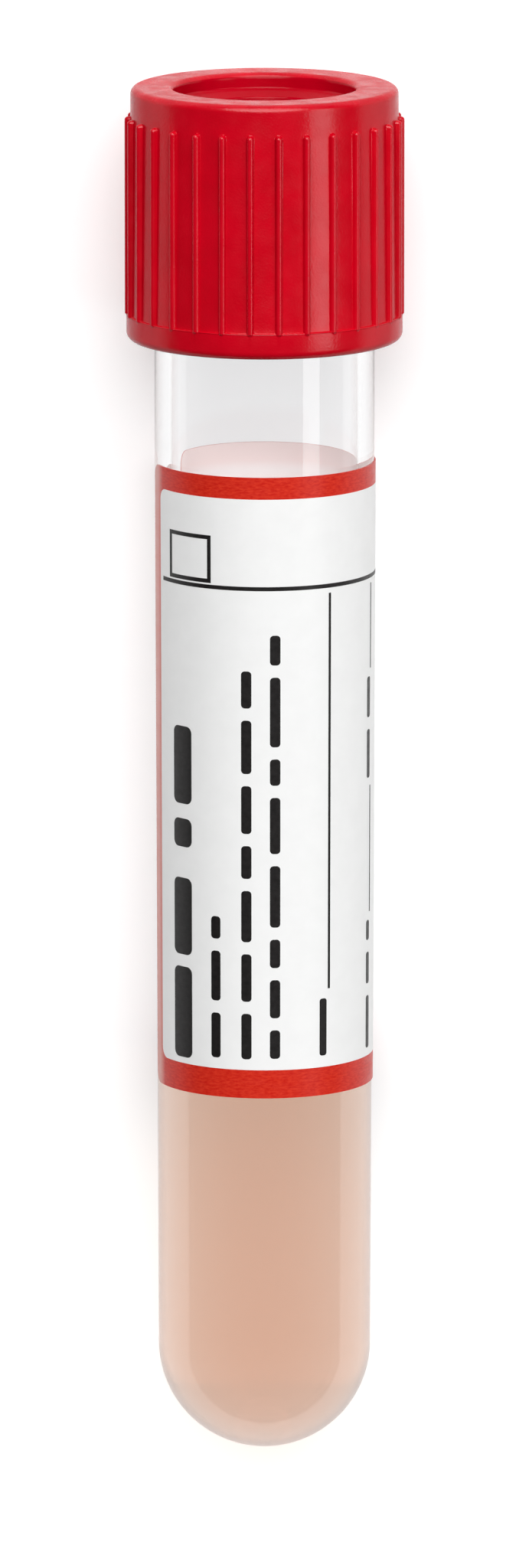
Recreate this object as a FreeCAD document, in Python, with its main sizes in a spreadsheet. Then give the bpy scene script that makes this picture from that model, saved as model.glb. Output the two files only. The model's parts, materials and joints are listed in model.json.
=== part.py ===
"""Specimen swab tube: a round-bottomed clear tube, its one-piece screw cap, its wrapped label
and the liquid medium in it, lying on its side as it comes to rest on a flat surface.

Every piece is drawn upright in the tube's own frame, with the outside of the round bottom at the
origin, the tube's axis along +Z and the label's front towards -Y. One placement, worked out at the
end from the two places that touch the floor, then lays all of them down.
"""

import FreeCAD, Part  # noqa: E401
import math
import os

import Sketcher

from FreeCAD import Placement, Rotation, Vector

# Sizes that can each be set by themselves, in mm, or in degrees where the name says so.
DRIVING = [
    # tube
    ("tube_length", 99.0, "outside of the round bottom to the rim"),
    ("mouth_radius", 8.0, "outside radius of the parallel neck"),
    ("wall", 1.2, "tube wall"),
    ("draft", 0.22, "how much smaller the radius is at the round bottom than at the neck"),
    ("rim_round", 0.3, "rounding of the rim's two edges"),
    ("root_inset", 0.2, "how far the threaded neck is turned down under the cap"),
    ("root_margin", 0.1, "how far below the cap that turned-down neck starts"),
    # cap
    ("cap_height", 18.5, "foot of the skirt to the flat top"),
    ("lid_thickness", 2.0, "rim's seat to the flat top"),
    ("thread_gap", 0.75, "room for the thread between neck and skirt"),
    ("skirt_wall", 1.12, "skirt wall at the foot"),
    ("skirt_draft", 0.15, "how much smaller the skirt's radius is at the top"),
    ("flange_lip", 0.17, "how far the foot's flange stands out of the skirt"),
    ("flange_height", 1.95, "height of that flange"),
    ("flange_round", 0.6, "rounding under the flange"),
    ("step_round", 0.12, "rounding of the flange's upper edge"),
    ("shoulder_round", 0.5, "rounding of the cap's top edge"),
    ("lip_round", 0.45, "rounding of the recess's mouth"),
    ("recess_flare", 0.9, "how much wider the recess is above its ledge"),
    ("ledge_drop", 1.1, "flat top to the ledge's outer edge"),
    ("ledge_height", 0.55, "height of the sloping ledge"),
    ("ledge_round", 0.2, "rounding of the ledge's two edges"),
    ("plug_clearance", 0.05, "between plug and bore, on the radius"),
    ("plug_wall", 1.05, "wall of the plug"),
    ("plug_depth", 5.8, "rim's seat to the plug's foot"),
    ("plug_land", 0.9, "plug's foot between its outside and the funnel"),
    ("plug_chamfer", 0.5, "lead-in on the plug's foot"),
    ("funnel_height", 3.4, "height of the funnel that guides a shaft to the socket"),
    ("web", 1.3, "upright thickness of the funnel's wall"),
    ("socket_radius", 1.28, "bore that grips a 2.5 mm shaft"),
    ("socket_wall", 1.0, "wall round that bore"),
    ("boss_drop", 1.2, "flat top to the top of the socket's boss"),
    ("boss_lid", 1.0, "thickness of the boss's closed end"),
    ("boss_round", 0.6, "rounding of the boss's top edge"),
    ("floor_round", 0.4, "rounding at both edges of the recess's floor"),
    ("rib_count", 30, "grip ribs"),
    ("rib_radius", 0.24, "radius of a grip rib"),
    ("rib_rise", 0.28, "how far a rib stands out at the foot of the skirt"),
    ("rib_gap", 2.2, "flat top to the rounded end of a rib"),
    ("rib_sink", 0.2, "how far a rib runs down into the flange"),
    # label
    ("label_height", 45.9, "height of the label"),
    ("label_gap", 8.9, "top of the label to the foot of the cap"),
    ("label_margin", 0.3, "top of the label to the parallel neck"),
    ("label_thickness", 0.1, "film and adhesive"),
    ("label_start_deg", -79.7, "left edge of the label, from the front, turning to the right"),
    ("label_wrap_deg", 325.0, "how far round the label goes"),
    ("label_corner", 1.0, "rounding of its four corners"),
    # medium
    ("fill_height", 29.5, "outside of the round bottom to where the liquid meets the wall"),
    ("meniscus", 0.35, "how far the liquid's surface dips in the middle"),
]

# Sizes and heights that follow from those.
DERIVED = [
    ("bore_radius", "mouth_radius - wall"),
    ("foot_radius", "mouth_radius - draft"),
    ("foot_bore", "foot_radius - wall"),
    ("root_radius", "mouth_radius - root_inset"),
    ("cap_top", "tube_length + lid_thickness"),
    ("cap_foot", "cap_top - cap_height"),
    ("root_start", "cap_foot - root_margin"),
    ("label_top", "cap_foot - label_gap"),
    ("label_foot", "label_top - label_height"),
    ("neck_start", "label_top + label_margin"),
    ("slope", "draft / (neck_start - foot_radius)"),
    ("label_foot_inner", "foot_radius + slope * (label_foot - foot_radius)"),
    ("label_top_inner", "foot_radius + slope * (label_top - foot_radius)"),
    ("label_foot_outer", "label_foot_inner + label_thickness"),
    ("label_top_outer", "label_top_inner + label_thickness"),
    ("fill_radius", "foot_bore + slope * (fill_height - foot_radius)"),
    ("fill_dip", "fill_height - meniscus"),
    ("skirt_bore", "mouth_radius + thread_gap"),
    ("skirt_radius", "skirt_bore + skirt_wall"),
    ("skirt_top_radius", "skirt_radius - skirt_draft"),
    ("flange_radius", "skirt_radius + flange_lip"),
    ("flange_top", "cap_foot + flange_height"),
    ("plug_radius", "bore_radius - plug_clearance"),
    ("recess_radius", "plug_radius - plug_wall"),
    ("recess_mouth", "recess_radius + recess_flare"),
    ("ledge_top", "cap_top - ledge_drop"),
    ("ledge_foot", "ledge_top - ledge_height"),
    ("plug_foot", "tube_length - plug_depth"),
    ("plug_tip_radius", "plug_radius - plug_chamfer"),
    ("plug_tip_top", "plug_foot + plug_chamfer"),
    ("funnel_radius", "plug_radius - plug_land"),
    ("funnel_top", "plug_foot + funnel_height"),
    ("funnel_slope", "funnel_height / (funnel_radius - socket_radius)"),
    ("boss_radius", "socket_radius + socket_wall"),
    ("floor_edge", "plug_foot + funnel_slope * (funnel_radius - recess_radius) + web"),
    ("floor_boss", "plug_foot + funnel_slope * (funnel_radius - boss_radius) + web"),
    ("boss_top", "cap_top - boss_drop"),
    ("socket_top", "boss_top - boss_lid"),
    ("rib_axis", "skirt_radius + rib_rise - rib_radius"),
    ("rib_outer", "rib_axis + rib_radius"),
    ("rib_foot", "flange_top - rib_sink"),
    ("rib_top", "cap_top - rib_gap"),
    ("rib_shoulder", "rib_top - rib_radius"),
]

FULL_TURN = 360.0
CLOSE = 1e-4  # mm, how near an edge has to be to the ring it is looked up as


def make_sheet(doc):
    """The sheet of sizes: plain numbers first, then the sizes that follow from them."""
    sheet = doc.addObject("Spreadsheet::Sheet", "Sizes")
    row = 1
    for name, value, meaning in DRIVING:
        sheet.set(f"A{row}", name)
        sheet.set(f"B{row}", str(value))
        sheet.set(f"C{row}", meaning)
        sheet.setAlias(f"B{row}", name)
        row += 1
    doc.recompute()
    for name, formula in DERIVED:
        sheet.set(f"A{row}", name)
        sheet.set(f"B{row}", f"={formula}")
        sheet.setAlias(f"B{row}", name)
        row += 1
        doc.recompute()
    return sheet


def size(doc, name):
    """A size's number, or 0 for a corner that lies on the axis or on the ground plane."""
    return float(getattr(doc.Sizes, name)) if name else 0.0


def add_body(doc, name):
    body = doc.addObject("PartDesign::Body", name)
    body.Label = name
    return body


def outline(body, name, corners, rounds=(), axis_name=None):
    """A closed outline in the body's own XZ plane, fully constrained to the sheet.

    Each corner is a pair of size names, (radius, height), where None stands for 0. The side that
    starts at a corner whose number is in rounds is an arc about a point on the turning axis, and
    every other side is straight. axis_name names the radius of that axis, None for the body's own.
    """
    doc = body.Document
    sketch = body.newObject("Sketcher::SketchObject", name)
    planes = {plane.Role: plane for plane in body.Origin.OriginFeatures}
    sketch.AttachmentSupport = [(planes["XZ_Plane"], "")]
    sketch.MapMode = "FlatFace"

    points = [Vector(size(doc, x), size(doc, y), 0) for x, y in corners]
    axis_x = size(doc, axis_name)
    count = len(corners)
    for number in range(count):
        start, end = points[number], points[(number + 1) % count]
        if number in rounds:
            sketch.addGeometry(axis_arc(start, end, axis_x), False)
        else:
            sketch.addGeometry(Part.LineSegment(start, end), False)
    starts = [start_of(sketch, number, points[number]) for number in range(count)]

    for number in range(count):
        last = number - 1 if number else count - 1
        end_pos = 3 - starts[last]
        sketch.addConstraint(Sketcher.Constraint("Coincident", last, end_pos, number, starts[number]))
    for number, (x, y) in enumerate(corners):
        pin_down(sketch, number, starts[number], x, y, points[number])
    turning_axis = -2
    if axis_name:
        low, high = Vector(axis_x, 0, 0), Vector(axis_x, 1, 0)
        turning_axis = sketch.addGeometry(Part.LineSegment(low, high), True)
        sketch.addConstraint(Sketcher.Constraint("Vertical", turning_axis))
        sketch.addConstraint(Sketcher.Constraint("PointOnObject", turning_axis, 1, -1))
        sketch.addConstraint(Sketcher.Constraint("DistanceY", turning_axis, 1, turning_axis, 2, 1.0))
        bind(sketch, ("DistanceX", -1, 1, turning_axis, 1, axis_x), f"{name}_axis", axis_name)
    for number in rounds:
        sketch.addConstraint(Sketcher.Constraint("PointOnObject", number, 3, turning_axis))
    return sketch


def axis_arc(start, end, axis_x):
    """The shorter arc from start to end whose centre is on the upright line x = axis_x."""
    rise = end.y - start.y
    near, far = start.x - axis_x, end.x - axis_x
    height = start.y + (far**2 - near**2 + rise**2) / (2 * rise)
    centre = Vector(axis_x, height, 0)
    radius = (start - centre).Length
    first = math.atan2(start.y - height, near)
    second = math.atan2(end.y - height, far)
    low, high = min(first, second), max(first, second)
    return Part.ArcOfCircle(Part.Circle(centre, Vector(0, 0, 1), radius), low, high)


def start_of(sketch, number, point):
    """Which end of a side, 1 or 2, is at its first corner: an arc always runs anticlockwise."""
    side = sketch.Geometry[number]
    return 1 if (side.StartPoint - point).Length < (side.EndPoint - point).Length else 2


def pin_down(sketch, number, end, x, y, point):
    """Ties one corner to the sheet, or to the axis and the ground line where it lies on them."""
    if x:
        bind(sketch, ("DistanceX", -1, 1, number, end, point.x), f"{sketch.Name}_x{number}", x)
    else:
        sketch.addConstraint(Sketcher.Constraint("PointOnObject", number, end, -2))
    if y:
        bind(sketch, ("DistanceY", -1, 1, number, end, point.y), f"{sketch.Name}_y{number}", y)
    else:
        sketch.addConstraint(Sketcher.Constraint("PointOnObject", number, end, -1))


def bind(sketch, constraint, name, cell):
    index = sketch.addConstraint(Sketcher.Constraint(*constraint))
    sketch.renameConstraint(index, name)
    sketch.setExpression(f"Constraints.{name}", f"Sizes.{cell}")


def turned(body, name, sketch, axis="V_Axis"):
    """The outline turned all the way round."""
    solid = body.newObject("PartDesign::Revolution", name)
    solid.Profile = sketch
    solid.ReferenceAxis = (sketch, [axis])
    solid.Angle = FULL_TURN
    return solid


def round_rings(body, name, base, rings, radius):
    """Rounds the round edges of base at the given (radius, height) pairs of size names."""
    doc = body.Document
    doc.recompute()
    edges = []
    for ring_radius, ring_height in rings:
        wanted = size(doc, ring_radius), size(doc, ring_height)
        found = [
            f"Edge{number}"
            for number, edge in enumerate(base.Shape.Edges, 1)
            if is_ring(edge, *wanted)
        ]
        if not found:
            raise RuntimeError(f"{name}: no edge at {ring_radius}, {ring_height}")
        edges += found
    fillet = body.newObject("PartDesign::Fillet", name)
    fillet.Base = (base, edges)
    fillet.setExpression("Radius", f"Sizes.{radius}")
    return fillet


def is_ring(edge, radius, height):
    if edge.Degenerated:
        return False
    curve = edge.Curve
    if not isinstance(curve, Part.Circle) or abs(curve.Axis.z) < 1 - CLOSE:
        return False
    return abs(curve.Radius - radius) < CLOSE and abs(curve.Center.z - height) < CLOSE


def make_tube(doc):
    """Clear tube with a round bottom, a slightly drafted wall and a parallel neck."""
    body = add_body(doc, "tube")
    corners = [
        (None, None),
        ("foot_radius", "foot_radius"),
        ("mouth_radius", "neck_start"),
        ("mouth_radius", "root_start"),
        ("root_radius", "root_start"),
        ("root_radius", "tube_length"),
        ("bore_radius", "tube_length"),
        ("bore_radius", "neck_start"),
        ("foot_bore", "foot_radius"),
        (None, "wall"),
    ]
    section = outline(body, "tube_section", corners, rounds=(0, 8))
    wall = turned(body, "tube_wall", section)
    rim = [("root_radius", "tube_length"), ("bore_radius", "tube_length")]
    round_rings(body, "tube_rim", wall, rim, "rim_round")
    return body


def make_medium(doc):
    """Liquid that fills the round end, with a slightly dished surface."""
    body = add_body(doc, "medium")
    corners = [
        (None, "wall"),
        ("foot_bore", "foot_radius"),
        ("fill_radius", "fill_height"),
        (None, "fill_dip"),
    ]
    section = outline(body, "medium_section", corners, rounds=(0, 2))
    turned(body, "medium_fill", section)
    return body


def make_label(doc):
    """Thin label that follows the drafted wall, most of the way round."""
    body = add_body(doc, "label")
    corners = [
        ("label_foot_inner", "label_foot"),
        ("label_foot_outer", "label_foot"),
        ("label_top_outer", "label_top"),
        ("label_top_inner", "label_top"),
    ]
    section = outline(body, "label_section", corners)
    # The XZ plane cuts the tube at 90 degrees from the front, and the label is turned from there.
    section.AttachmentOffset = Placement(Vector(), Rotation(Vector(0, 1, 0), 1.0))
    section.setExpression("AttachmentOffset.Rotation.Angle", "Sizes.label_start_deg - 90")
    band = turned(body, "label_band", section)
    band.setExpression("Angle", "Sizes.label_wrap_deg")
    doc.recompute()
    corner_edges = [
        f"Edge{number}"
        for number, edge in enumerate(band.Shape.Edges, 1)
        if edge.Length < 2 * size(doc, "label_thickness")
    ]
    corner = body.newObject("PartDesign::Fillet", "label_corners")
    corner.Base = (band, corner_edges)
    corner.setExpression("Radius", "Sizes.label_corner")
    return body


def make_cap(doc):
    """One-piece screw cap: ribbed skirt, flat top with a recess, plug seal and shaft socket."""
    body = add_body(doc, "cap")
    corners = [
        (None, "boss_top"),
        ("boss_radius", "boss_top"),
        ("boss_radius", "floor_boss"),
        ("recess_radius", "floor_edge"),
        ("recess_radius", "ledge_foot"),
        ("recess_mouth", "ledge_top"),
        ("recess_mouth", "cap_top"),
        ("skirt_top_radius", "cap_top"),
        ("skirt_radius", "flange_top"),
        ("flange_radius", "flange_top"),
        ("flange_radius", "cap_foot"),
        ("skirt_bore", "cap_foot"),
        ("skirt_bore", "tube_length"),
        ("plug_radius", "tube_length"),
        ("plug_radius", "plug_tip_top"),
        ("plug_tip_radius", "plug_foot"),
        ("funnel_radius", "plug_foot"),
        ("socket_radius", "funnel_top"),
        ("socket_radius", "socket_top"),
        (None, "socket_top"),
    ]
    section = outline(body, "cap_section", corners)
    shell = turned(body, "cap_shell", section)
    flange_foot = [("flange_radius", "cap_foot")]
    flange_edge = [("flange_radius", "flange_top")]
    top_edge = [("skirt_top_radius", "cap_top")]
    mouth = [("recess_mouth", "cap_top")]
    ledge = [("recess_mouth", "ledge_top"), ("recess_radius", "ledge_foot")]
    boss_edge = [("boss_radius", "boss_top")]
    floor_edges = [("boss_radius", "floor_boss"), ("recess_radius", "floor_edge")]
    shell = round_rings(body, "flange_foot", shell, flange_foot, "flange_round")
    shell = round_rings(body, "flange_edge", shell, flange_edge, "step_round")
    shell = round_rings(body, "shoulder", shell, top_edge, "shoulder_round")
    shell = round_rings(body, "recess_lip", shell, mouth, "lip_round")
    shell = round_rings(body, "ledge", shell, ledge, "ledge_round")
    shell = round_rings(body, "boss_edge", shell, boss_edge, "boss_round")
    round_rings(body, "recess_floor", shell, floor_edges, "floor_round")
    add_ribs(body)
    return body


def add_ribs(body):
    """Grip ribs: slim round bars sunk into the skirt, with domed upper ends."""
    corners = [
        ("rib_axis", "rib_foot"),
        ("rib_outer", "rib_foot"),
        ("rib_outer", "rib_shoulder"),
        ("rib_axis", "rib_top"),
    ]
    section = outline(body, "rib_section", corners, rounds=(2,), axis_name="rib_axis")
    rib = turned(body, "rib", section, axis="Axis0")
    body.Document.recompute()
    ribs = body.newObject("PartDesign::PolarPattern", "ribs")
    ribs.Originals = [rib]
    axes = {feature.Role: feature for feature in body.Origin.OriginFeatures}
    ribs.Axis = (axes["Z_Axis"], [""])
    ribs.Angle = FULL_TURN
    ribs.setExpression("Occurrences", "Sizes.rib_count")
    body.Tip = ribs


def lay_down(doc):
    """The placement that lays the tube on the ground plane, on its cap and its round bottom.

    In the upright section the round bottom is a sphere. The cap meets the ground with the rounding of
    its flange or with the feet of the ribs nearest the ground, whichever lifts the axis more. The axis
    rises to the cap by that angle, and the origin is under the middle of the bounding box.
    """
    round_end = size(doc, "foot_radius")
    flange_round = size(doc, "flange_round")
    across = size(doc, "flange_radius") - flange_round
    along = size(doc, "cap_foot") + flange_round - round_end
    rib_across = size(doc, "rib_axis") * math.cos(off_nearest_rib(doc)) + size(doc, "rib_radius")
    rib_along = size(doc, "rib_foot") - round_end
    lean = max(
        lean_over(across, along, round_end, flange_round),
        lean_over(rib_across, rib_along, round_end, 0.0),
    )

    shoulder = size(doc, "shoulder_round")
    top_centre = size(doc, "cap_top") - shoulder
    top_radius = size(doc, "skirt_top_radius") - shoulder
    near_end = round_end * math.cos(lean) - round_end
    far_end = top_centre * math.cos(lean) + top_radius * math.sin(lean) + shoulder
    lift = round_end * (1 - math.sin(lean))
    turn = Rotation(Vector(1, 0, 0), math.degrees(lean) - 90)
    return Placement(Vector(0, -(near_end + far_end) / 2, lift), turn)


def lean_over(across, along, round_end, round_there):
    """Angle between the axis and the line that touches the round end and a rounding at (across, along)."""
    return math.atan2(across, along) - math.asin((round_end - round_there) / math.hypot(across, along))


def off_nearest_rib(doc):
    """Angle, in radians, between the ground's side of the cap and the rib that is nearest to it.

    The ribs are counted from the side of the tube, a quarter turn from the ground.
    """
    ribs_in_a_quarter = size(doc, "rib_count") / 4
    return 2 * math.pi / size(doc, "rib_count") * abs(ribs_in_a_quarter - round(ribs_in_a_quarter))


def check(doc, bodies):
    """Stops on any feature that failed or any sub-part that isn't one sound solid."""
    for feature in doc.Objects:
        if "Invalid" in feature.State or "Error" in feature.State:
            raise RuntimeError(f"{feature.Name} failed: {feature.State}")
    for body in bodies:
        shape = body.Shape
        if shape.isNull() or not shape.isValid() or len(shape.Solids) != 1:
            raise RuntimeError(f"{body.Label} isn't one valid solid")


def main():
    doc = FreeCAD.newDocument("specimen_swab_tube")
    make_sheet(doc)
    bodies = [make_tube(doc), make_cap(doc), make_label(doc), make_medium(doc)]
    rest = lay_down(doc)
    for body in bodies:
        body.Placement = rest
    doc.recompute()
    check(doc, bodies)
    os.makedirs("parts", exist_ok=True)
    for body in bodies:
        body.Shape.exportStep(f"parts/{body.Label}.step")
        print(body.Label, round(body.Shape.Volume, 2), "mm3")


main()
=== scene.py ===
"""Looks of the specimen swab tube: clear tube, ribbed red screw cap, wrapped label and liquid medium.

Every piece is drawn upright in millimetres, with the outside of the round bottom at the origin, the
tube's axis along +Z and the label's front towards -Y. UPRIGHT_TO_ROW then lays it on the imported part.
"""

import json
import math
import random

import bpy
from mathutils import Matrix, Vector


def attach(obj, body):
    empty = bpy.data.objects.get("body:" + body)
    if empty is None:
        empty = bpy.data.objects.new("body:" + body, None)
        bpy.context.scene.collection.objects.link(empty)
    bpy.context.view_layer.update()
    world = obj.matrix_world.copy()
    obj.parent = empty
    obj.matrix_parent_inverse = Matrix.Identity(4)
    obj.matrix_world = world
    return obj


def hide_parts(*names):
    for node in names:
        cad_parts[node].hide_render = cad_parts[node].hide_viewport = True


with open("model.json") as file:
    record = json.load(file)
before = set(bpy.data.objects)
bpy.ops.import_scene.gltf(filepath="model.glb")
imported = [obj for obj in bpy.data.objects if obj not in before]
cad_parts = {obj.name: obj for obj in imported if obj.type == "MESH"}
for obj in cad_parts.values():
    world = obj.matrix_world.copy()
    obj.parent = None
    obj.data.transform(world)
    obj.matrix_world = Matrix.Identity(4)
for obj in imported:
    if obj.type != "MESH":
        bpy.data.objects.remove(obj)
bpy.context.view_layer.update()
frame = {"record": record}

MM = 0.001

# Tube, in mm.
TUBE_LENGTH = 99.0
NECK_RADIUS = 8.0
WALL = 1.2
FOOT_RADIUS = 7.78
NECK_START = 73.9
ROOT_START = 82.4
ROOT_RADIUS = 7.8
RIM_ROUND = 0.3
BORE_RADIUS = NECK_RADIUS - WALL
FOOT_BORE = FOOT_RADIUS - WALL
SLOPE = (NECK_RADIUS - FOOT_RADIUS) / (NECK_START - FOOT_RADIUS)

# Cap, in mm. RIB_FALL is how many mm a rib's drawn surface drops for each mm beside it, and TOP_FINISH is
# how far down from the cap's top the top ring's own finish goes.
CAP_FOOT = 82.5
CAP_TOP = 101.0
SKIRT_BORE = 8.75
SKIRT_RADIUS = 9.87
SKIRT_TOP_RADIUS = 9.72
SHOULDER_ROUND = 0.5
FLANGE_RADIUS = 10.04
FLANGE_TOP = 84.45
FLANGE_ROUND = 0.6
FLANGE_EDGE_ROUND = 0.12
FLANGE_FILLET = 0.03
RECESS_MOUTH = 6.6
RECESS_RADIUS = 5.7
MOUTH_ROUND = 0.45
LEDGE_HIGH = 99.9
LEDGE_LOW = 99.35
LEDGE_ROUND = 0.2
PLUG_RADIUS = 6.75
PLUG_FOOT = 93.2
PLUG_CHAMFER = 0.5
FUNNEL_RADIUS = 5.85
FUNNEL_TOP = 96.6
SOCKET_RADIUS = 1.28
BOSS_RADIUS = 2.28
BOSS_TOP = 99.8
BOSS_ROUND = 0.6
SOCKET_TOP = 98.8
FLOOR_EDGE = 94.61
FLOOR_BOSS = 97.16
FLOOR_ROUND = 0.4
RIB_COUNT = 30
RIB_AXIS = 9.91
RIB_RADIUS = 0.24
RIB_FOOT = 84.25
RIB_TOP = 98.8
RIB_BLEND = 0.06
RIB_RUN_IN = 0.12
RIB_FALL = 6
TOP_FINISH = 0.3

# Sides of the tube's and the liquid's mesh, and steps of their round bottoms.
TUBE_SIDES = 256
TUBE_STEPS = 40
LIQUID_SIDES = 192
LIQUID_STEPS = 36
MENISCUS_STEPS = 14

# Where the cap's mesh has vertices: across a rib in degrees, over the flat between two ribs as shares of
# its width from its middle, up the foot of the ribs, up the skirt and in from the top ring's edges in mm.
RIB_COLUMNS = [-2.1, -1.8, -1.55, -1.3, -1.05, -0.75, -0.4]
FLAT_COLUMNS = [-0.3, 0.0, 0.3]
RIB_FOOT_ROWS = [-0.06, 0.0, 0.06, 0.12]
SKIRT_ROWS = [84.9, 88, 92, 96, 98.3] + [98.5 + 0.04 * k for k in range(11)] + [99.15, 100.4]
RING_EDGE = 0.1

# Threads, in mm, and shares of their length, height and width.
THREAD_PITCH = 4.0
THREAD_WIDTH = 1.3
THREAD_FADE = 0.16
THREAD_LEAST = 0.02
THREAD_CREST = 0.45

# Label, in mm and degrees. u runs round the tube from the label's left edge, v up from its foot.
LABEL_FOOT = 27.7
LABEL_HEIGHT = 45.9
LABEL_THICKNESS = 0.1
LABEL_START = -79.7
LABEL_WRAP = 325.0
LABEL_CORNER = 1.0
LABEL_TURN_RADIUS = 8.0
LABEL_WIDTH = math.radians(LABEL_WRAP) * LABEL_TURN_RADIUS
LABEL_SINK = 0.03
BORDER_SIDE = 1.5
BORDER_FOOT = 2.1
BORDER_TOP = 1.6
BORDER_SOFTNESS = 0.35
PANEL_CORNER = 0.8
PANEL_LIFT = 0.006
INK_LIFT = 0.012
PRINT_SINK = 0.004
BOX_LINE = 0.3
RULE_LINE = 0.3
FORM_LINE = 0.2
LEFT_EDGE_FADE = (0.9, 1.9)

# Label's mesh: steps round a corner, and mm between its columns and between its rows.
CORNER_STEPS = 6
COLUMN_STEP = 0.35
MARK_COLUMN_STEP = 0.3
ROW_STEP = 6.0

# Liquid, in mm. It runs a little into the wall, so that no air shows between them.
FILL_HEIGHT = 29.5
MENISCUS = 0.35
WETTING = 0.02

# The shank mount's middle is this far up the axis from the outside of the round bottom, in mm.
SHANK_MIDDLE = 78.15

# Camera, in mm up the tube's axis and in front of it, and the lens in mm.
CAMERA_FRONT = 1125.0
CAMERA_UP = 268.0
AIM_UP = 49.5
LENS = 360.0

# Floor, in metres, and levels of light, with 1 as white. GLOSSY_LEVEL is how much of the floor's own glow
# is mirrored, THROUGH_LEVEL is what clear parts show behind them, THROUGH_EVEN is the share of it that
# takes the place of the lit floor, and PAINTED_FILM_GLOW is a painted glow of the label's glued side, in
# place of the light that comes through the label.
FLOOR_HALF = 4.0
FLOOR_GREY = 0.86
FLOOR_FADE_START = 0.2
FLOOR_FADE_END = 0.6
FLOOR_GLOW = 0.3
ROOM_LEVEL = 0.04
GLOSSY_LEVEL = 0.6
THROUGH_LEVEL = 0.94
THROUGH_EVEN = 0.75
PAINTED_FILM_GLOW = 0.10

# Where opaque gloss fades and where clear edges darken with painted shade, from 0 for a surface that
# faces the viewer to 1 for one seen edge on.
GLOSS_FADE = (0.15, 0.55)
EDGE_DARKENING = (0.6, 0.95)

mounts = {mount["name"]: mount for mount in frame["record"]["mounts"]}
AXIS = Vector(mounts["cap_top"]["axis"]).normalized()
RIGHT = Vector((1, 0, 0))
BACK = AXIS.cross(RIGHT)
POLE = Vector(mounts["shank"]["pos_m"]) - SHANK_MIDDLE * MM * AXIS
TURN = Matrix((RIGHT, BACK, AXIS)).transposed().to_4x4()
UPRIGHT_TO_ROW = Matrix.Translation(POLE) @ TURN @ Matrix.Scale(MM, 4)


# ---------------------------------------------------------------- meshes


def make_piece(name, vertices, faces, body, materials, face_materials=None, sharp=35):
    """A piece drawn upright in mm, laid on the part, smooth but for edges sharper than an angle."""
    mesh = bpy.data.meshes.new(name)
    mesh.from_pydata(vertices, [], faces)
    for slot in materials:
        mesh.materials.append(slot)
    if face_materials:
        mesh.polygons.foreach_set("material_index", face_materials)
    mesh.transform(UPRIGHT_TO_ROW)
    mesh.validate()
    mesh.shade_smooth()
    mesh.set_sharp_from_angle(angle=math.radians(sharp))
    piece = bpy.data.objects.new(name, mesh)
    bpy.context.scene.collection.objects.link(piece)
    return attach(piece, body)


def rounded(corners, steps=7):
    """A line through (r, z, rounding) corners, with an arc at each corner that has a rounding."""
    points = []
    for i, (r, z, rounding) in enumerate(corners):
        here = Vector((r, z))
        if not rounding:
            points.append(here)
            continue
        before = (Vector(corners[i - 1][:2]) - here).normalized()
        after = (Vector(corners[i + 1][:2]) - here).normalized()
        half = before.angle(after) / 2
        centre = here + (before + after).normalized() * rounding / math.sin(half)
        start = here + before * rounding / math.tan(half) - centre
        end = here + after * rounding / math.tan(half) - centre
        sweep = start.angle(end)
        for k in range(steps + 1):
            share = k / steps
            turned = start * math.sin((1 - share) * sweep) + end * math.sin(share * sweep)
            points.append(centre + turned / math.sin(sweep))
    return [(point.x, point.y) for point in points]


def turned_mesh(profile, angles, radius_at=None, closed=False):
    """Vertices, faces and each face's row, of a line of (r, z) points turned about the axis. A point on the
    axis is one vertex. A closed line also joins its last point to its first."""
    vertices, rings, faces, rows = [], [], [], []
    for r, z in profile:
        if r < 1e-9:
            rings.append([len(vertices)] * len(angles))
            vertices.append((0, 0, z))
            continue
        ring = []
        for angle in angles:
            here = radius_at(r, z, angle) if radius_at else r
            ring.append(len(vertices))
            vertices.append((here * math.sin(angle), -here * math.cos(angle), z))
        rings.append(ring)
    pairs = list(zip(range(len(rings) - 1), range(1, len(rings))))
    if closed:
        pairs.append((len(rings) - 1, 0))
    for row, (low, high) in enumerate(pairs):
        for k in range(len(angles)):
            after = (k + 1) % len(angles)
            loop = [rings[low][k], rings[low][after], rings[high][after], rings[high][k]]
            loop = [v for i, v in enumerate(loop) if v != loop[i - 1]]
            if len(loop) > 2:
                faces.append(loop)
                rows.append(row)
    return vertices, faces, rows


def even_angles(count):
    """Angles of one full turn, in radians."""
    return [2 * math.pi * k / count for k in range(count)]


def round_end(radius, steps, downwards):
    """Points of the round bottom's quarter circle, from the pole out or back."""
    quarter = [math.pi / 2 * k / steps for k in range(steps + 1)]
    points = [(radius * math.sin(t), FOOT_RADIUS - radius * math.cos(t)) for t in quarter]
    points[0] = (0.0, FOOT_RADIUS - radius)
    return points[::-1] if downwards else points


# ---------------------------------------------------------------- materials


def new_material(name):
    """A material with an empty node tree and its output node."""
    made = bpy.data.materials.new(name)
    made.use_nodes = True
    tree = made.node_tree
    tree.nodes.clear()
    return made, tree, tree.nodes.new("ShaderNodeOutputMaterial")


def add(tree, kind, **settings):
    """A node, with its inputs set by name where the value isn't one of the node's own settings."""
    node = tree.nodes.new(kind)
    for key, value in settings.items():
        if hasattr(node, key):
            setattr(node, key, value)
        else:
            node.inputs[key.replace("_", " ")].default_value = value
    return node


def calculate(tree, operation, first, second):
    """A Math node's output, from sockets or plain numbers."""
    node = tree.nodes.new("ShaderNodeMath")
    node.operation = operation
    for socket, value in zip(node.inputs, (first, second)):
        if isinstance(value, (int, float)):
            socket.default_value = value
        else:
            tree.links.new(value, socket)
    return node.outputs[0]


def millimetres(tree):
    """The piece's own coordinates, in mm."""
    place = add(tree, "ShaderNodeTexCoord")
    scale = add(tree, "ShaderNodeVectorMath", operation="SCALE", Scale=1000.0)
    tree.links.new(place.outputs["Object"], scale.inputs[0])
    return scale.outputs[0]


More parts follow.
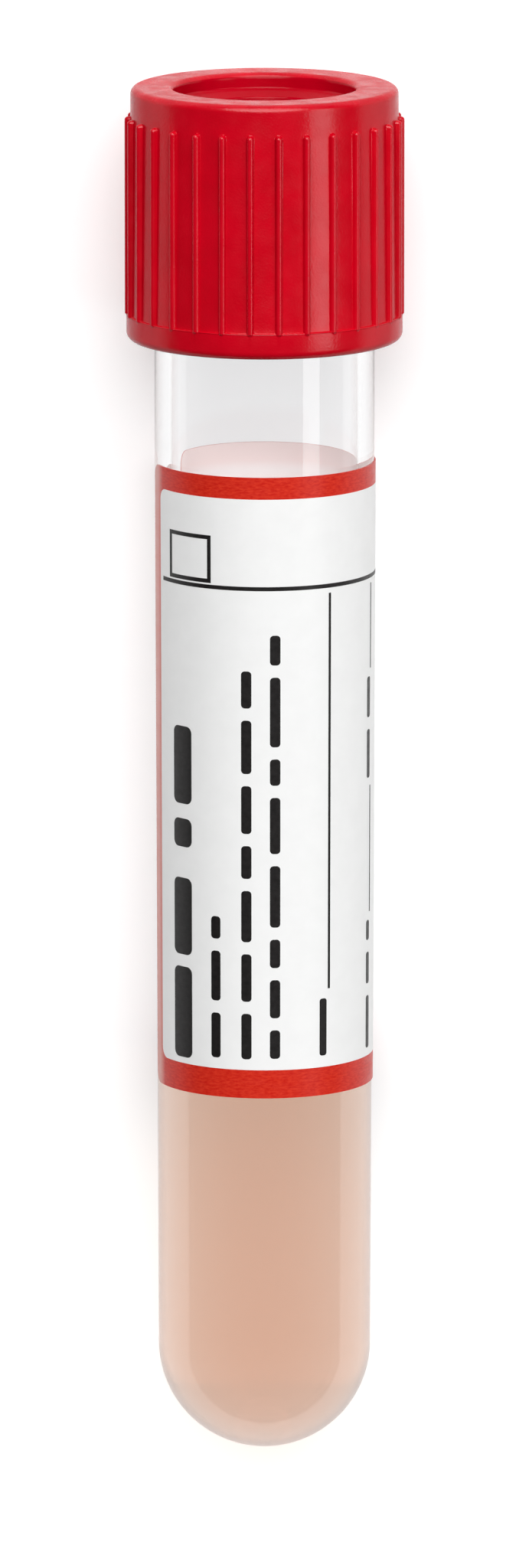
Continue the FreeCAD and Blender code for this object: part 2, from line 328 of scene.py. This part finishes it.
def noise(tree, where, scale, detail=2.0, roughness=0.5):
    """Noise from 0 to 1, whose grains are about 1/scale mm."""
    node = add(tree, "ShaderNodeTexNoise", Scale=scale, Detail=detail, Roughness=roughness)
    tree.links.new(where, node.inputs["Vector"])
    return node.outputs["Fac"]


def between(tree, factor, low, high, from_low=0.35, from_high=0.65):
    """A number that goes from low to high as the factor goes from from_low to from_high. Without them the
    factor is noise, which mostly stays between 0.35 and 0.65."""
    node = add(tree, "ShaderNodeMapRange", From_Min=from_low, From_Max=from_high, To_Min=low, To_Max=high)
    tree.links.new(factor, node.inputs["Value"])
    return node.outputs["Result"]


def mix_colours(tree, factor, first, second):
    """A colour between two, by a factor socket. Each is a socket or (red, green, blue)."""
    node = add(tree, "ShaderNodeMix", data_type="RGBA")
    tree.links.new(factor, node.inputs[0])
    for socket, colour in zip(node.inputs[6:8], (first, second)):
        if isinstance(colour, tuple):
            socket.default_value = (*colour, 1)
        else:
            tree.links.new(colour, socket)
    return node.outputs[2]


def mix_shaders(tree, factor, first, second):
    """A shader between two, by a factor socket or a plain number."""
    node = tree.nodes.new("ShaderNodeMixShader")
    if isinstance(factor, (int, float)):
        node.inputs[0].default_value = factor
    else:
        tree.links.new(factor, node.inputs[0])
    tree.links.new(first, node.inputs[1])
    tree.links.new(second, node.inputs[2])
    return node.outputs[0]


def bump(tree, height, distance):
    """A normal from a height socket, whose full range stands distance mm high."""
    node = add(tree, "ShaderNodeBump", Strength=1.0, Distance=distance * MM)
    tree.links.new(height, node.inputs["Height"])
    return node.outputs["Normal"]


def moulded(name, dark, light, rough, grain, grain_height, gloss, slanting):
    """Moulded opaque plastic with a fine grain and slightly uneven colour and roughness. slanting is the
    share of its gloss that is left where it is seen at a slant."""
    made, tree, output = new_material(name)
    where = millimetres(tree)
    shader = add(tree, "ShaderNodeBsdfPrincipled")
    slant = add(tree, "ShaderNodeLayerWeight", Blend=0.5).outputs["Facing"]
    left = between(tree, slant, gloss, gloss * slanting, *GLOSS_FADE)
    tree.links.new(left, shader.inputs["Specular IOR Level"])
    colour = mix_colours(tree, between(tree, noise(tree, where, 0.35, 3.0), 0.0, 1.0), dark, light)
    tree.links.new(colour, shader.inputs["Base Color"])
    tree.links.new(between(tree, noise(tree, where, 0.8, 3.0), *rough), shader.inputs["Roughness"])
    tree.links.new(bump(tree, noise(tree, where, grain), grain_height), shader.inputs["Normal"])
    tree.links.new(shader.outputs[0], output.inputs["Surface"])
    return made


def clear(name, tint, painted_edge_shade, ior, shadow_tint, absorbed=None):
    """Clear material that bends what is seen through it and lets lamps and soft light straight through.
    It darkens to painted_edge_shade where it is seen edge on, a painted shade, and absorbed is what it
    takes off each colour over a metre."""
    made, tree, output = new_material(name)
    where = millimetres(tree)
    shader = add(tree, "ShaderNodeBsdfPrincipled")
    slant = add(tree, "ShaderNodeLayerWeight", Blend=0.5).outputs["Facing"]
    # Painted shade: the colour darkens towards painted_edge_shade where the surface is seen edge on.
    edge = between(tree, slant, 0.0, 1.0, *EDGE_DARKENING)
    tree.links.new(mix_colours(tree, edge, tint, painted_edge_shade), shader.inputs["Base Color"])
    shader.inputs["Transmission Weight"].default_value = 1.0
    shader.inputs["IOR"].default_value = ior
    tree.links.new(between(tree, noise(tree, where, 0.5), 0.0, 0.03), shader.inputs["Roughness"])
    passing = add(tree, "ShaderNodeBsdfTransparent")
    passing.inputs["Color"].default_value = (*shadow_tint, 1)
    path = add(tree, "ShaderNodeLightPath")
    straight = calculate(tree, "MAXIMUM", path.outputs["Is Shadow Ray"], path.outputs["Is Diffuse Ray"])
    surface = mix_shaders(tree, straight, shader.outputs[0], passing.outputs[0])
    tree.links.new(surface, output.inputs["Surface"])
    if absorbed:
        # More than the largest of the three, so that no part of the volume's colour reaches 0.
        density = max(absorbed) * 1.25
        volume = add(tree, "ShaderNodeVolumeAbsorption", Density=density)
        volume.inputs["Color"].default_value = (*(1 - part / density for part in absorbed), 1)
        tree.links.new(volume.outputs[0], output.inputs["Volume"])
    return made


def film(name, first, second, rough, grain, along=1.0, gloss=0.35, left_edge=None):
    """Printed label film: a colour with slight mottling, drawn out round the tube where along is above 1.
    left_edge is the colour that it fades to at the label's left edge."""
    made, tree, output = new_material(name)
    place = add(tree, "ShaderNodeUVMap", uv_map="label_mm")
    stretch = add(tree, "ShaderNodeVectorMath", operation="MULTIPLY")
    stretch.inputs[1].default_value = (1 / along, 1, 1)
    tree.links.new(place.outputs[0], stretch.inputs[0])
    where = stretch.outputs[0]
    shader = add(tree, "ShaderNodeBsdfPrincipled")
    shader.inputs["Specular IOR Level"].default_value = gloss
    colour = mix_colours(tree, between(tree, noise(tree, where, grain, 4.0, 0.6), 0.0, 1.0), first, second)
    if left_edge:
        split = add(tree, "ShaderNodeSeparateXYZ")
        tree.links.new(place.outputs[0], split.inputs[0])
        near_edge = between(tree, split.outputs["X"], 1.0, 0.0, *LEFT_EDGE_FADE)
        colour = mix_colours(tree, near_edge, colour, left_edge)
    tree.links.new(colour, shader.inputs["Base Color"])
    uneven = between(tree, noise(tree, where, 2.0), rough - 0.04, rough + 0.06)
    tree.links.new(uneven, shader.inputs["Roughness"])
    tree.links.new(bump(tree, noise(tree, where, 5.0), 0.001), shader.inputs["Normal"])
    tree.links.new(shader.outputs[0], output.inputs["Surface"])
    return made


def near_border(tree, distance, width):
    """1 within a border's width of the label's edge and 0 beyond it, with a soft change between."""
    return between(tree, distance, 1.0, 0.0, width - BORDER_SOFTNESS, width + BORDER_SOFTNESS)


def label_back_material():
    """The label's glued side seen through the tube: the red border shows through, with a painted glow."""
    made, tree, output = new_material("label_back")
    place = add(tree, "ShaderNodeUVMap", uv_map="label_mm")
    split = add(tree, "ShaderNodeSeparateXYZ")
    tree.links.new(place.outputs[0], split.inputs[0])
    u, v = split.outputs["X"], split.outputs["Y"]
    top = near_border(tree, calculate(tree, "SUBTRACT", LABEL_HEIGHT, v), BORDER_TOP)
    foot = near_border(tree, v, BORDER_FOOT)
    side = near_border(tree, u, BORDER_SIDE)
    border = calculate(tree, "MAXIMUM", calculate(tree, "MAXIMUM", top, foot), side)
    shader = add(tree, "ShaderNodeBsdfPrincipled", Roughness=0.5)
    colour = mix_colours(tree, border, (0.99, 0.93, 0.92), (0.97, 0.82, 0.80))
    tree.links.new(colour, shader.inputs["Base Color"])
    # Painted light: the glued side glows a little in its own colour, in place of light that comes through
    # the film.
    tree.links.new(colour, shader.inputs["Emission Color"])
    shader.inputs["Emission Strength"].default_value = PAINTED_FILM_GLOW
    tree.links.new(shader.outputs[0], output.inputs["Surface"])
    return made


RED_CAP = moulded(
    "cap_red",
    dark=(0.54, 0.0, 0.009),
    light=(0.59, 0.0, 0.011),
    rough=(0.20, 0.27),
    grain=6.5,
    grain_height=0.011,
    gloss=0.42,
    slanting=0.2,
)
RED_TOP = moulded(
    "cap_top_red",
    dark=(0.53, 0.001, 0.012),
    light=(0.62, 0.006, 0.02),
    rough=(0.20, 0.34),
    grain=4.0,
    grain_height=0.016,
    gloss=0.3,
    slanting=0.25,
)
# The recess and the inside are a darker red than the outside: painted shade for the shade inside the
# recess.
RED_RECESS_PAINTED_SHADE = moulded(
    "cap_recess_painted_shade",
    dark=(0.40, 0.0, 0.008),
    light=(0.45, 0.0, 0.010),
    rough=(0.16, 0.22),
    grain=3.0,
    grain_height=0.002,
    gloss=0.12,
    slanting=0.5,
)
CLEAR = clear(
    "tube_clear",
    tint=(0.985, 0.986, 0.99),
    painted_edge_shade=(0.58, 0.46, 0.45),
    ior=1.49,
    shadow_tint=(0.995, 0.995, 0.996),
)
LIQUID = clear(
    "medium_tan",
    tint=(0.99, 0.97, 0.95),
    painted_edge_shade=(0.85, 0.72, 0.66),
    ior=1.33,
    shadow_tint=(0.99, 0.98, 0.97),
    absorbed=(15, 48, 70),
)
LABEL_RED = film(
    "label_red",
    first=(0.55, 0.012, 0.006),
    second=(0.68, 0.036, 0.016),
    rough=0.34,
    grain=7.0,
    along=3.0,
    gloss=0.22,
    left_edge=(0.78, 0.34, 0.30),
)
LABEL_WHITE = film(
    "label_white", first=(0.87, 0.872, 0.868), second=(0.89, 0.892, 0.888), rough=0.38, grain=0.6
)
LABEL_INK = film(
    "label_ink", first=(0.006, 0.005, 0.005), second=(0.012, 0.010, 0.010), rough=0.42, grain=3.0
)
LABEL_BACK = label_back_material()


# ---------------------------------------------------------------- tube and liquid


def make_tube():
    """The clear tube: one turned wall, round at the bottom, with its rim rounded."""
    profile = round_end(FOOT_RADIUS, TUBE_STEPS, downwards=False)
    profile += rounded(
        [
            (NECK_RADIUS, NECK_START, 0),
            (NECK_RADIUS, ROOT_START, 0),
            (ROOT_RADIUS, ROOT_START, 0),
            (ROOT_RADIUS, TUBE_LENGTH, RIM_ROUND),
            (BORE_RADIUS, TUBE_LENGTH, RIM_ROUND),
            (BORE_RADIUS, NECK_START, 0),
        ]
    )
    profile += round_end(FOOT_BORE, TUBE_STEPS, downwards=True)
    vertices, faces, _ = turned_mesh(profile, even_angles(TUBE_SIDES))
    tube = make_piece("tube_wall", vertices, faces, "tube", [CLEAR])
    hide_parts("tube")


def make_medium():
    """The liquid: it fills the round bottom, and its surface climbs a little at the wall."""
    fill_radius = FOOT_BORE + SLOPE * (FILL_HEIGHT - FOOT_RADIUS) + WETTING
    profile = round_end(FOOT_BORE + WETTING, LIQUID_STEPS, downwards=False)
    profile.append((fill_radius, FILL_HEIGHT))
    for k in range(1, MENISCUS_STEPS + 1):
        share = k / MENISCUS_STEPS
        dip = MENISCUS * (1 - (1 - share) ** 4)
        profile.append((fill_radius * (1 - share), FILL_HEIGHT - dip))
    profile[-1] = (0.0, FILL_HEIGHT - MENISCUS)
    vertices, faces, _ = turned_mesh(profile, even_angles(LIQUID_SIDES))
    medium = make_piece("medium_liquid", vertices, faces, "tube", [LIQUID])
    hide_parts("medium")


def thread(name, body, material, sunk, crest, start, turns, angle):
    """A right-handed thread: a ridge that winds up the axis and fades in and out at its ends. It stands
    from the sunk radius to the crest radius, outwards or inwards."""
    per_turn = 96
    count = int(turns * per_turn)
    fade = THREAD_FADE * turns
    half = THREAD_WIDTH / 2
    flat = half * THREAD_CREST
    vertices, faces = [], []
    for k in range(count + 1):
        done = k / per_turn
        height = max(min(1.0, done / fade, (turns - done) / fade), THREAD_LEAST)
        turned = angle + 2 * math.pi * done
        z = start + THREAD_PITCH * done
        top = sunk + (crest - sunk) * height
        for r, rise in ((sunk, -half), (top, -flat), (top, flat), (sunk, half)):
            vertices.append((r * math.sin(turned), -r * math.cos(turned), z + rise))
    for k in range(count):
        for side in range(4):
            after = (side + 1) % 4
            faces.append([4 * k + side, 4 * k + after, 4 * k + 4 + after, 4 * k + 4 + side])
    faces.append([3, 2, 1, 0])
    faces.append([4 * count + side for side in range(4)])
    if crest < sunk:
        faces = [loop[::-1] for loop in faces]
    ridge = make_piece(name, vertices, faces, body, [material], sharp=30)


# ---------------------------------------------------------------- cap


def smooth_max(a, b, blend):
    """The larger of two numbers, blended where they are close."""
    near = max(blend - abs(a - b), 0.0) / blend
    return max(a, b) + near * near * blend / 4


def rib_height(across, z):
    """Radius of a rib's surface at a distance across it, or one that falls off steeply beside the rib."""
    beyond = max(0.0, z - (RIB_TOP - RIB_RADIUS))
    left = RIB_RADIUS**2 - across**2 - beyond**2
    if left > 0:
        return RIB_AXIS + math.sqrt(left)
    return RIB_AXIS - RIB_FALL * (math.hypot(across, beyond) - RIB_RADIUS)


def skirt_radius_at(r, z, angle):
    """Radius of the cap's outside, with the grip ribs raised on the skirt and run into the flange."""
    if r <= SKIRT_BORE or z < RIB_FOOT or z > RIB_TOP + RIB_BLEND:
        return r
    spacing = 2 * math.pi / RIB_COUNT
    off = (angle / spacing - 0.5) % 1.0
    off = min(off, 1.0 - off) * spacing
    across = r * math.sin(off)
    rib = rib_height(across, z)
    if z < FLANGE_TOP:
        rib -= RIB_RUN_IN * max(0.0, 1 - (z - RIB_FOOT) / RIB_RUN_IN)
    return smooth_max(r, rib, RIB_BLEND) if rib > r - RIB_BLEND else r


def cap_angles():
    """Angles of one full turn, close together over each rib."""
    spacing = 2 * math.pi / RIB_COUNT
    over_rib = [math.radians(a) for a in RIB_COLUMNS]
    over_rib += [0.0] + [-a for a in reversed(over_rib)]
    angles = []
    for k in range(RIB_COUNT):
        middle = (k + 0.5) * spacing
        angles += [middle + a for a in over_rib]
        flat_start = middle + over_rib[-1]
        flat_width = spacing - 2 * over_rib[-1]
        angles += [flat_start + flat_width * (0.5 + share) for share in FLAT_COLUMNS]
    return angles


def skirt_at(z):
    """Radius of the tapered skirt at a height."""
    return SKIRT_RADIUS + (SKIRT_TOP_RADIUS - SKIRT_RADIUS) * (z - CAP_FOOT) / (CAP_TOP - CAP_FOOT)


def cap_finish(r, z):
    """The cap material of a place: textured outside, top ring, or smooth inside with painted shade."""
    if z > CAP_TOP - TOP_FINISH:
        return 1
    return 0 if r > SKIRT_BORE else 2


def make_cap():
    """The one-piece cap: ribbed skirt and flange, recess with its ledge, socket boss, plug and funnel."""
    corners = [(SKIRT_BORE, CAP_FOOT, 0), (FLANGE_RADIUS, CAP_FOOT, FLANGE_ROUND)]
    corners += [(FLANGE_RADIUS, RIB_FOOT + row, 0) for row in RIB_FOOT_ROWS]
    corners += [(FLANGE_RADIUS, FLANGE_TOP, FLANGE_EDGE_ROUND), (SKIRT_RADIUS, FLANGE_TOP, FLANGE_FILLET)]
    corners += [(skirt_at(z), z, 0) for z in SKIRT_ROWS]
    corners += [
        (SKIRT_TOP_RADIUS, CAP_TOP, SHOULDER_ROUND),
        (SKIRT_TOP_RADIUS - SHOULDER_ROUND - RING_EDGE, CAP_TOP, 0),
        (RECESS_MOUTH + MOUTH_ROUND + RING_EDGE, CAP_TOP, 0),
        (RECESS_MOUTH, CAP_TOP, MOUTH_ROUND),
        (RECESS_MOUTH, LEDGE_HIGH, LEDGE_ROUND),
        (RECESS_RADIUS, LEDGE_LOW, LEDGE_ROUND),
        (RECESS_RADIUS, FLOOR_EDGE, FLOOR_ROUND),
        (BOSS_RADIUS, FLOOR_BOSS, FLOOR_ROUND),
        (BOSS_RADIUS, BOSS_TOP, BOSS_ROUND),
        (0.0, BOSS_TOP, 0),
    ]
    outer_line = rounded(corners)
    inner_line = [
        (0.0, SOCKET_TOP),
        (SOCKET_RADIUS, SOCKET_TOP),
        (SOCKET_RADIUS, FUNNEL_TOP),
        (FUNNEL_RADIUS, PLUG_FOOT),
        (PLUG_RADIUS - PLUG_CHAMFER, PLUG_FOOT),
        (PLUG_RADIUS, PLUG_FOOT + PLUG_CHAMFER),
        (PLUG_RADIUS, TUBE_LENGTH),
        (SKIRT_BORE, TUBE_LENGTH),
    ]
    line = outer_line + inner_line
    vertices, faces, rows = turned_mesh(line, cap_angles(), skirt_radius_at, closed=True)
    finishes = []
    for row in rows:
        (low_r, low_z), (high_r, high_z) = line[row], line[(row + 1) % len(line)]
        finishes.append(cap_finish((low_r + high_r) / 2, (low_z + high_z) / 2))
    cap = make_piece("cap_shell", vertices, faces, "cap", [RED_CAP, RED_TOP, RED_RECESS_PAINTED_SHADE], finishes)
    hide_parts("cap")


# ---------------------------------------------------------------- label


def label_point(u, v, lift):
    """Upright place of a label point, lifted off the tube's wall by lift mm."""
    angle = math.radians(LABEL_START) + u / LABEL_TURN_RADIUS
    z = LABEL_FOOT + v
    r = FOOT_RADIUS + SLOPE * (z - FOOT_RADIUS) + lift
    return (r * math.sin(angle), -r * math.cos(angle), z)


def spread(low, high, step):
    """Numbers from low to high, at most step apart."""
    count = max(1, math.ceil((high - low) / step))
    return [low + (high - low) * k / count for k in range(count + 1)]


def wrapped(name, low_u, high_u, low_v, high_v, corner, inner, outer, materials, step=COLUMN_STEP):
    """A thin sheet wrapped on the tube between two lifts, with rounded corners. Its outside and edges take
    the first material and its glued side the last."""
    arc = [0.0]
    if corner:
        arc = [corner * (1 - math.cos(math.pi / 2 * k / CORNER_STEPS)) for k in range(CORNER_STEPS + 1)]
    columns = [low_u + a for a in arc]
    columns += spread(low_u + corner, high_u - corner, step)[1:-1]
    columns += [high_u - a for a in reversed(arc)]
    rows = [low_v + a for a in arc]
    rows += spread(low_v + corner, high_v - corner, ROW_STEP)[1:-1]
    rows += [high_v - a for a in reversed(arc)]
    ends = []
    for u in columns:
        near = min(u - low_u, high_u - u)
        cut = corner - math.sqrt(max(0.0, corner**2 - (corner - near) ** 2)) if near < corner else 0.0
        ends.append((low_v + cut, high_v - cut))
    vertices, places, faces, slots = [], [], [], []
    across, along = len(columns), len(rows)
    for lift in (outer, inner):
        for v in rows:
            for u, (lowest, highest) in zip(columns, ends):
                held = min(max(v, lowest), highest)
                vertices.append(label_point(u, held, lift))
                places.append((u, held))
    under = across * along

    def vertex(i, j, layer):
        return layer * under + j * across + i

    for j in range(along - 1):
        for i in range(across - 1):
            loop = [vertex(i, j, 0), vertex(i + 1, j, 0), vertex(i + 1, j + 1, 0), vertex(i, j + 1, 0)]
            faces += [loop, [v + under for v in reversed(loop)]]
            slots += [0, len(materials) - 1]
    rim = [(i, 0) for i in range(across)] + [(across - 1, j) for j in range(1, along)]
    rim += [(i, along - 1) for i in range(across - 2, -1, -1)] + [(0, j) for j in range(along - 2, 0, -1)]
    for k, (i, j) in enumerate(rim):
        ni, nj = rim[(k + 1) % len(rim)]
        faces.append([vertex(ni, nj, 0), vertex(i, j, 0), vertex(i, j, 1), vertex(ni, nj, 1)])
        slots.append(0)
    vertices, places, faces, slots = joined(vertices, places, faces, slots)
    sheet = make_piece(name, vertices, faces, "tube", materials, slots, sharp=50)
    layer = sheet.data.uv_layers.new(name="label_mm")
    for loop in sheet.data.loops:
        layer.data[loop.index].uv = places[loop.vertex_index]
    return sheet


def joined(vertices, places, faces, slots):
    """The same mesh with vertices at the same place made one, and faces with no area left out."""
    seen, kept, kept_places, new_index = {}, [], [], []
    for place, uv in zip(vertices, places):
        key = tuple(round(c, 5) for c in place)
        if key not in seen:
            seen[key] = len(kept)
            kept.append(place)
            kept_places.append(uv)
        new_index.append(seen[key])
    new_faces, new_slots = [], []
    for loop, slot in zip(faces, slots):
        loop = [new_index[v] for v in loop]
        loop = [v for i, v in enumerate(loop) if v != loop[i - 1]]
        if len(loop) > 2:
            new_faces.append(loop)
            new_slots.append(slot)
    return kept, kept_places, new_faces, new_slots


def make_label():
    """The red film, the white panel printed on it, and the panel's rules, box and blocks of text."""
    film_top = LABEL_THICKNESS
    panel_top = LABEL_THICKNESS + PANEL_LIFT
    ink_top = LABEL_THICKNESS + INK_LIFT
    film_box = (0, LABEL_WIDTH, 0, LABEL_HEIGHT)
    panel_box = (BORDER_SIDE, LABEL_WIDTH - BORDER_SIDE, BORDER_FOOT, LABEL_HEIGHT - BORDER_TOP)
    base = wrapped("label_film", *film_box, LABEL_CORNER, -LABEL_SINK, film_top, [LABEL_RED, LABEL_BACK])
    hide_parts("label")
    wrapped("label_panel", *panel_box, PANEL_CORNER, film_top - PRINT_SINK, panel_top, [LABEL_WHITE])
    for name, *ink_box, corner in label_marks():
        wrapped(name, *ink_box, corner, panel_top - PRINT_SINK, ink_top, [LABEL_INK], MARK_COLUMN_STEP)


def words(source, low_v, high_v, gap):
    """Stretches of different lengths that fill a line of text, with gaps between them."""
    shortest, longest, least_left, least_room = 1.8, 5.2, 1.2, 1.0
    stretches = []
    v = low_v
    while v < high_v - least_room:
        length = min(source.uniform(shortest, longest), high_v - v)
        if high_v - (v + length) < least_left:
            length = high_v - v
        stretches.append((v, v + length))
        v += length + gap
    return stretches


def text_line(name, source, low_u, high_u, low_v, high_v, share, gap):
    """A line of print as plain bars, one a word, over the middle share of the line's height."""
    rounding = 0.35
    inset = (high_u - low_u) * (1 - share) / 2
    corner = (high_u - low_u - 2 * inset) * rounding
    bars = []
    for k, (low, high) in enumerate(words(source, low_v, high_v, gap)):
        bars.append((f"{name}_{k}", low_u + inset, high_u - inset, low, high, corner))
    return bars


def label_marks():
    """(name, u from, u to, v from, v to, corner) of every printed mark, none of them lettering."""
    source = random.Random(11)
    left, right, foot, top = 3.0, 7.1, 38.0, 41.5
    rule, line_end = 37.58, 37.2
    marks = [
        ("mark_box_foot", left, right, foot, foot + BOX_LINE, 0),
        ("mark_box_top", left, right, top - BOX_LINE, top, 0),
        ("mark_box_left", left, left + BOX_LINE, foot + BOX_LINE, top - BOX_LINE, 0),
        ("mark_box_right", right - BOX_LINE, right, foot + BOX_LINE, top - BOX_LINE, 0),
        ("mark_rule", 2.0, 24.5, rule, rule + RULE_LINE, 0),
    ]
    for k, (low, high) in enumerate(((2.55, 9.3), (10.2, 15.9), (18.2, 20.3), (21.4, 27.15))):
        marks.append((f"mark_heading_{k}", 3.45, 5.35, low, high, 0.5))
    marks += text_line("mark_first", source, 6.7, 8.2, 2.9, 13.4, 0.5, 0.9)
    marks += text_line("mark_second", source, 8.9, 10.7, 2.9, 31.65, 0.42, 0.9)
    marks += text_line("mark_third", source, 11.0, 12.8, 2.95, 34.3, 0.42, 0.9)
    marks += text_line("mark_form_a", source, 14.9, 16.4, 2.95, 7.2, 0.4, 0.8)
    marks.append(("mark_write_a", 16.05, 16.05 + FORM_LINE, 7.9, line_end, 0))
    marks += text_line("mark_form_b", source, 20.2, 21.7, 2.7, 12.2, 0.4, 0.9)
    marks.append(("mark_write_b", 21.25, 21.25 + FORM_LINE, 12.8, 22.2, 0))
    marks += text_line("mark_form_c", source, 20.2, 21.7, 22.8, 30.3, 0.4, 0.9)
    marks.append(("mark_write_c", 21.25, 21.25 + FORM_LINE, 30.9, line_end, 0))
    return marks


# ---------------------------------------------------------------- stage


def make_floor():
    """A pale floor that keeps the shadow near the part and fades to plain white further out. Clear parts
    show it more evenly lit than it is."""
    mesh = bpy.data.meshes.new("floor")
    corners = [(FLOOR_HALF * x, FLOOR_HALF * y, 0) for x, y in ((-1, -1), (1, -1), (1, 1), (-1, 1))]
    mesh.from_pydata(corners, [], [[0, 1, 2, 3]])
    made, tree, output = new_material("floor_pale")
    path = add(tree, "ShaderNodeLightPath")
    mirrored = calculate(tree, "MULTIPLY", path.outputs["Is Glossy Ray"], GLOSSY_LEVEL)
    seen = calculate(tree, "MAXIMUM", path.outputs["Is Camera Ray"], mirrored)
    diffuse = add(tree, "ShaderNodeBsdfDiffuse")
    diffuse.inputs["Color"].default_value = (FLOOR_GREY, FLOOR_GREY, FLOOR_GREY, 1)
    glow = add(tree, "ShaderNodeEmission")
    tree.links.new(calculate(tree, "MULTIPLY", seen, FLOOR_GLOW), glow.inputs["Strength"])
    near = add(tree, "ShaderNodeAddShader")
    tree.links.new(diffuse.outputs[0], near.inputs[0])
    tree.links.new(glow.outputs[0], near.inputs[1])
    plain = add(tree, "ShaderNodeEmission")
    tree.links.new(seen, plain.inputs["Strength"])
    place = add(tree, "ShaderNodeTexCoord")
    distance = add(tree, "ShaderNodeVectorMath", operation="LENGTH")
    tree.links.new(place.outputs["Object"], distance.inputs[0])
    far = between(tree, distance.outputs["Value"], 0.0, 1.0, FLOOR_FADE_START, FLOOR_FADE_END)
    fading = mix_shaders(tree, far, near.outputs[0], plain.outputs[0])
    through = add(tree, "ShaderNodeEmission", Strength=THROUGH_LEVEL)
    even = mix_shaders(tree, THROUGH_EVEN, fading, through.outputs[0])
    surface = mix_shaders(tree, path.outputs["Is Transmission Ray"], fading, even)
    tree.links.new(surface, output.inputs["Surface"])
    mesh.materials.append(made)
    floor = bpy.data.objects.new("floor", mesh)
    bpy.context.scene.collection.objects.link(floor)


def make_world():
    """A dim room all round, seen by the camera and through clear parts as plain white."""
    world = bpy.data.worlds.new("studio")
    bpy.context.scene.world = world
    world.use_nodes = True
    tree = world.node_tree
    background = tree.nodes["Background"]
    background.inputs["Color"].default_value = (1, 1, 1, 1)
    path = add(tree, "ShaderNodeLightPath")
    through = calculate(tree, "MULTIPLY", path.outputs["Is Transmission Ray"], THROUGH_LEVEL)
    bright = calculate(tree, "MAXIMUM", path.outputs["Is Camera Ray"], through)
    tree.links.new(calculate(tree, "MAXIMUM", bright, ROOM_LEVEL), background.inputs["Strength"])


def add_soft_sky(name, towards_cap, level, spread_angle):
    """One very large soft light in front of the tube, leaning towards its cap end by an angle."""
    angle = math.radians(towards_cap)
    away = math.sin(angle) * AXIS - math.cos(angle) * BACK
    light = bpy.data.lights.new(name, "SUN")
    light.energy = level * math.pi
    light.angle = math.radians(spread_angle)
    lamp = bpy.data.objects.new(name, light)
    lamp.visible_transmission = False
    lamp.rotation_euler = away.to_track_quat("Z", "Y").to_euler()
    bpy.context.scene.collection.objects.link(lamp)


def add_softbox(name, round_angle, along, distance, width, length, level):
    """A softbox that faces the tube. round_angle turns about the tube from the front, to the right, and
    along is mm up the tube. The softbox's distance, width and length are in metres."""
    angle = math.radians(round_angle)
    away = math.sin(angle) * RIGHT - math.cos(angle) * BACK
    target = POLE + AXIS * along * MM
    light = bpy.data.lights.new(name, "AREA")
    light.shape = "RECTANGLE"
    light.size = width
    light.size_y = length
    light.energy = level * math.pi * width * length
    lamp = bpy.data.objects.new(name, light)
    lamp.visible_camera = False
    lamp.visible_transmission = False
    sideways = AXIS.cross(away).normalized()
    turn = Matrix((sideways, AXIS, away)).transposed()
    lamp.matrix_world = Matrix.Translation(target + away * distance) @ turn.to_4x4()
    bpy.context.scene.collection.objects.link(lamp)


def make_camera():
    """The camera in front of the label, a little above the cap, with the tube upright in the picture."""
    place = UPRIGHT_TO_ROW @ Vector((0, -CAMERA_FRONT, CAMERA_UP))
    target = UPRIGHT_TO_ROW @ Vector((0, 0, AIM_UP))
    back = (place - target).normalized()
    side = AXIS.cross(back).normalized()
    up = back.cross(side)
    data = bpy.data.cameras.new("camera")
    data.sensor_width = 36.0
    data.lens = LENS
    data.clip_start = 0.01
    data.clip_end = 50.0
    camera = bpy.data.objects.new("camera", data)
    camera.matrix_world = Matrix.Translation(place) @ Matrix((side, up, back)).transposed().to_4x4()
    bpy.context.scene.collection.objects.link(camera)
    bpy.context.scene.camera = camera


make_tube()
make_medium()
thread("tube_thread", "tube", CLEAR, sunk=7.7, crest=8.5, start=86.0, turns=2.2, angle=0.6)
thread("cap_thread", "cap", RED_CAP, sunk=8.85, crest=8.2, start=84.6, turns=2.4, angle=1.4)
make_cap()
make_label()
make_floor()
make_world()
add_soft_sky("top_soft", towards_cap=38, level=1.13, spread_angle=60)
add_softbox("key", round_angle=50, along=127, distance=0.60, width=0.20, length=0.45, level=3.0)
make_camera()
bpy.context.scene.view_settings.view_transform = "Standard"
